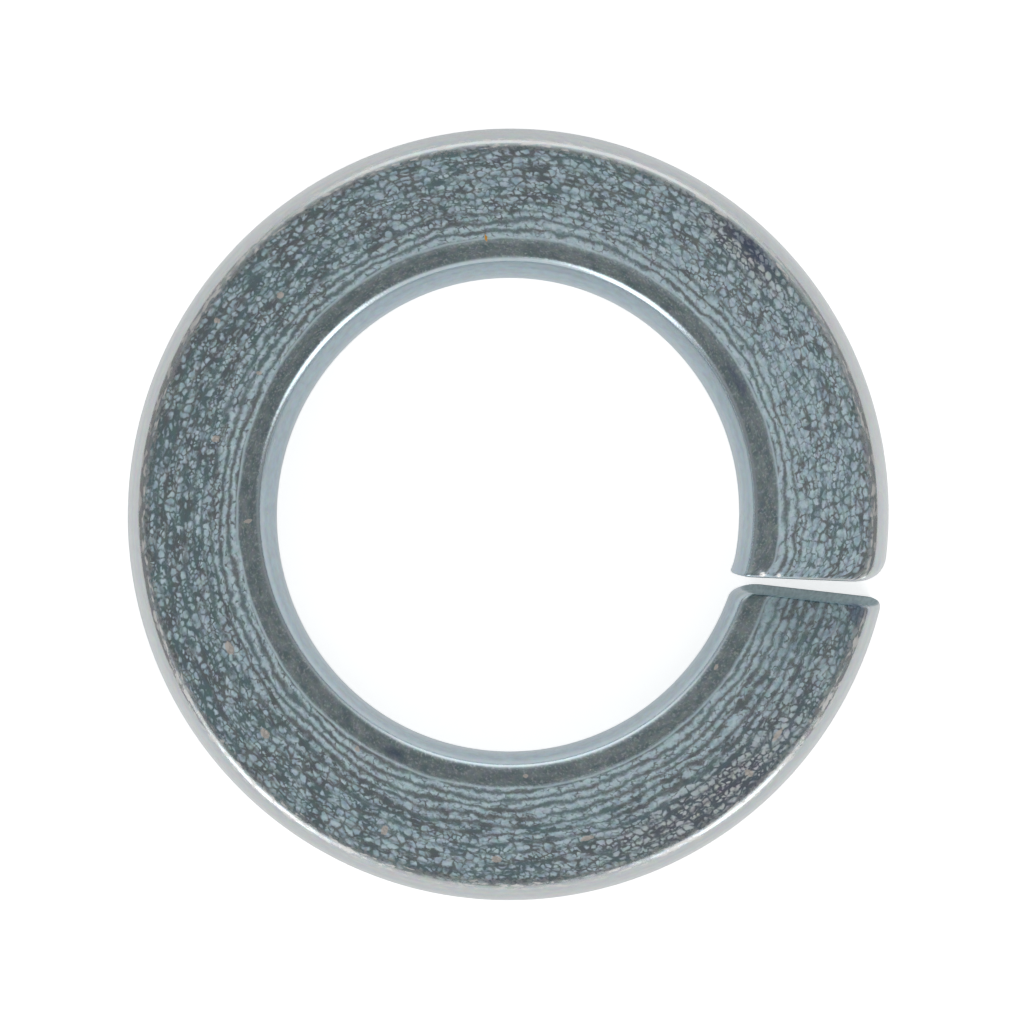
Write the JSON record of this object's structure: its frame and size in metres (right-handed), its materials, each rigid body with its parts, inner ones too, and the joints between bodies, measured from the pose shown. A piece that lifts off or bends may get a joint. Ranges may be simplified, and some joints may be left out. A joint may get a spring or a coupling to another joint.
{
  "type": "spring lock washer",
  "caption": "Spring lock washer with plain ends: one turn of bulged trapezoid spring wire, coiled on edge and sheared through, which keeps a screwed joint tight.",
  "frame": {"origin": "on the bore axis, level with the lowest corner of the low end", "axes": "+Z along the bore axis, up through the washer, and +X out through the middle of the slit"},
  "size_m": [0.0266, 0.0266, 0.0076],
  "materials": {
    "zinc_plate": "zinc plated and clear passivated, flecked on the flats and smooth on the walls"
  },
  "bodies": {
    "root": {"lock_washer": "zinc_plate"}
  },
  "joints": []
}
